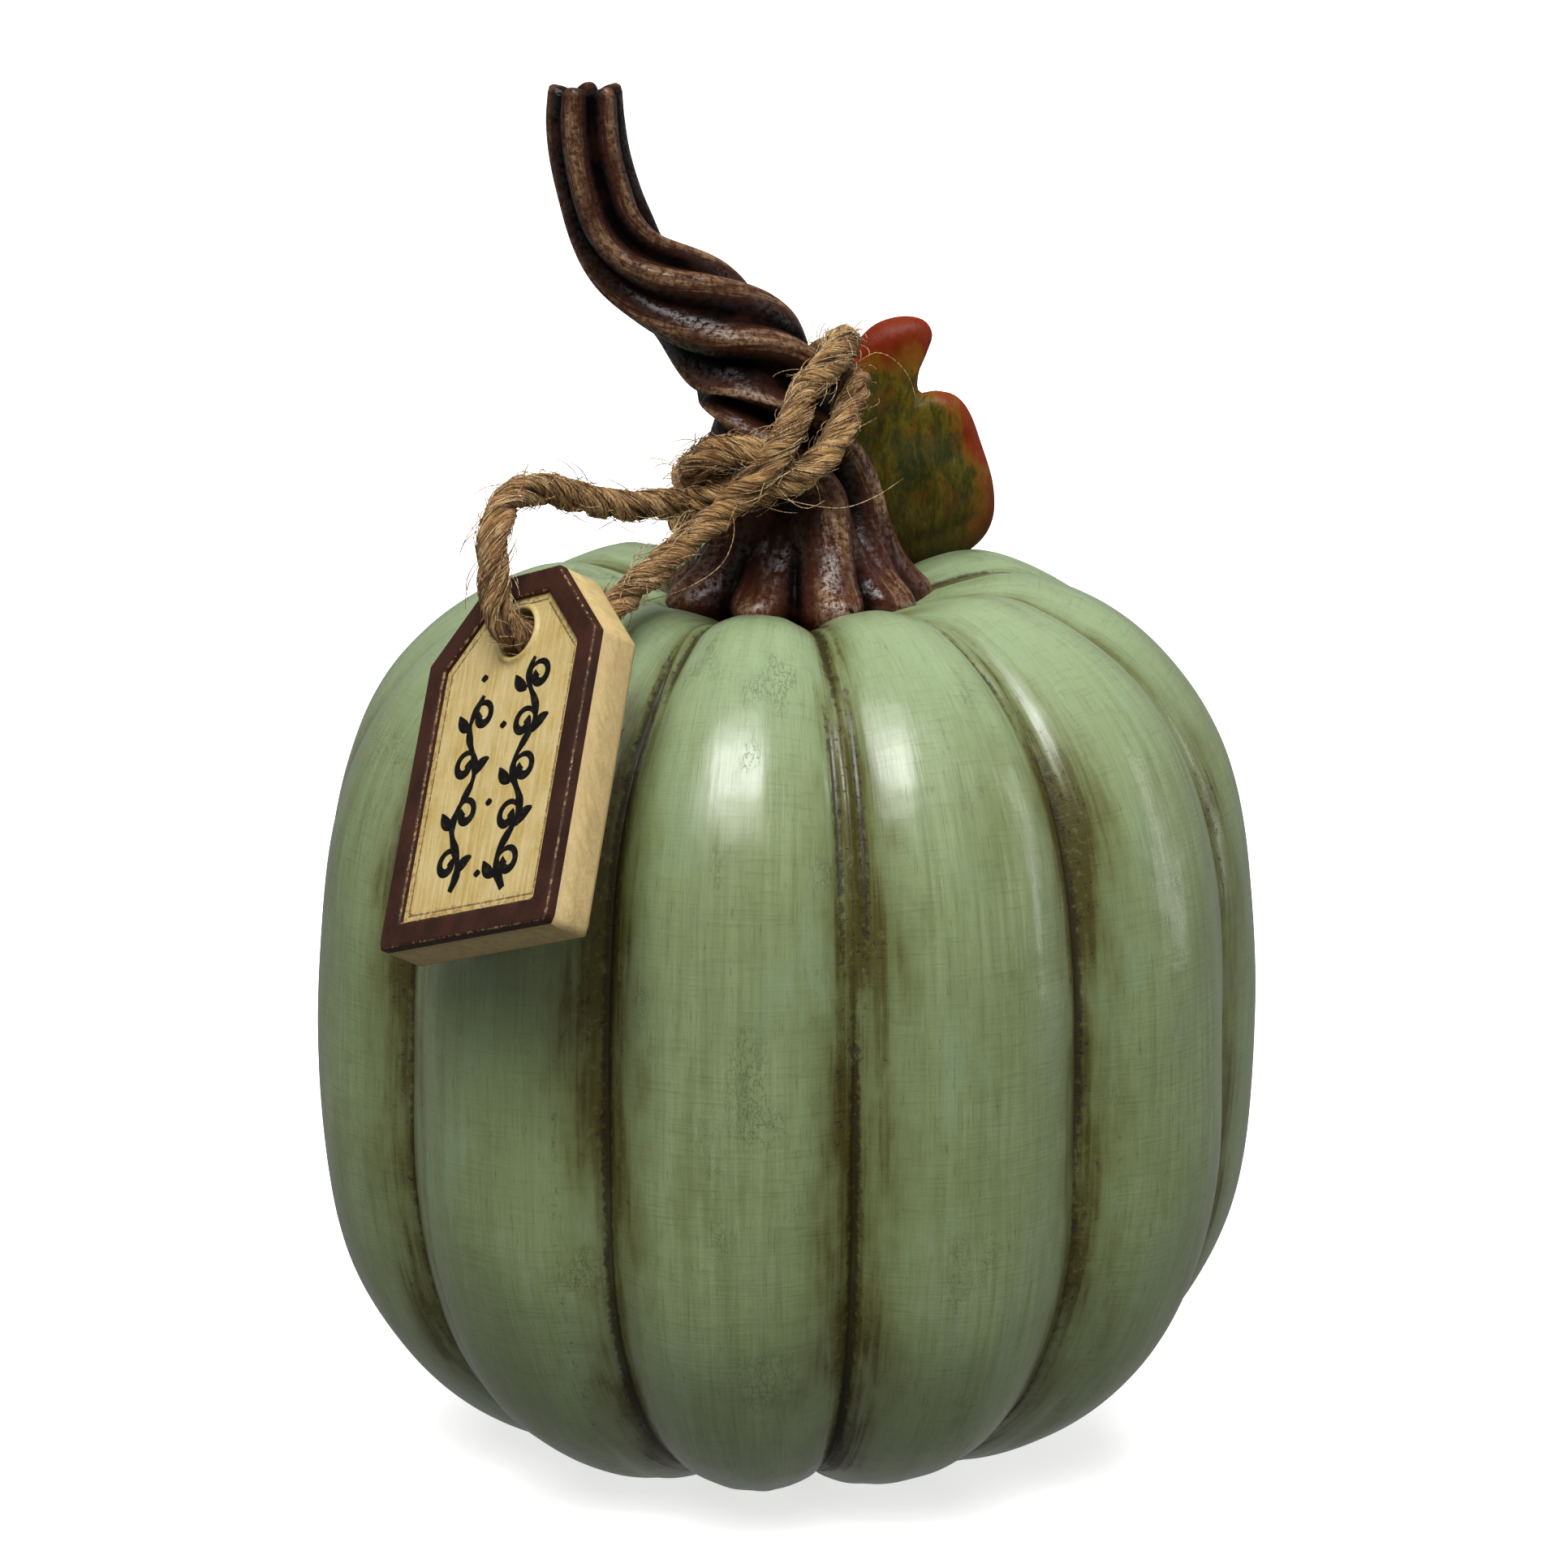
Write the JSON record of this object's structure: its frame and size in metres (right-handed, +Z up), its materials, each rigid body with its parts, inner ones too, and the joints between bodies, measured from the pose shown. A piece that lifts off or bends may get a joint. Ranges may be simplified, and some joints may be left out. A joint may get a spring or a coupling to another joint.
{
  "type": "ceramic pumpkin figure",
  "caption": "Hollow ceramic pumpkin ornament with a curling fluted stem, a leaf, and a small plaque tag that hangs on jute twine tied round the stem.",
  "frame": {"origin": "centre of the flat base, on the axis of the body, in the plane that it rests on", "axes": "+Z up along the axis of the body, -Y towards the front, +X to the right as seen from the front"},
  "size_m": [0.0868, 0.0959, 0.1259],
  "materials": {
    "glazed_body": "satin sage green paint, brushed, with a dark antiquing wash in the grooves, under a clear coat",
    "painted_stem": "semi-gloss dark brown with tan dry-brushed ridges",
    "painted_leaf": "satin olive and mustard, shading to red at the edges",
    "jute": "natural three-ply jute twine with loose fibres",
    "tag_side": "painted tan",
    "tag_border": "painted dark brown, worn at the edges",
    "tag_label": "antiqued cream with black painted flourishes"
  },
  "bodies": {
    "root": {"body_shell": "glazed_body", "stem": "painted_stem", "leaf": "painted_leaf", "twine_turns": "jute", "twine_knot": "jute", "twine_loop_front": "jute", "twine_loop_back": "jute"},
    "bight": {"twine_bight": "jute"},
    "tag": {"tag_block": "tag_side", "tag_border": "tag_border", "tag_label": "tag_label"}
  },
  "joints": [
    {"name": "tag_lift", "type": "hinge", "parent": "root", "child": "bight", "pos_m": [-0.023, -0.031, 0.0827], "axis": [-0.6904, 0.6601, -0.2961], "range_deg": [0, 50], "deforming": ["twine_loop_front", "twine_loop_back"]},
    {"name": "tag_swing", "type": "hinge", "parent": "bight", "child": "tag", "pos_m": [-0.023, -0.031, 0.0827], "axis": [-0.7084, -0.5338, 0.4617], "range_deg": [-30, 20]}
  ]
}
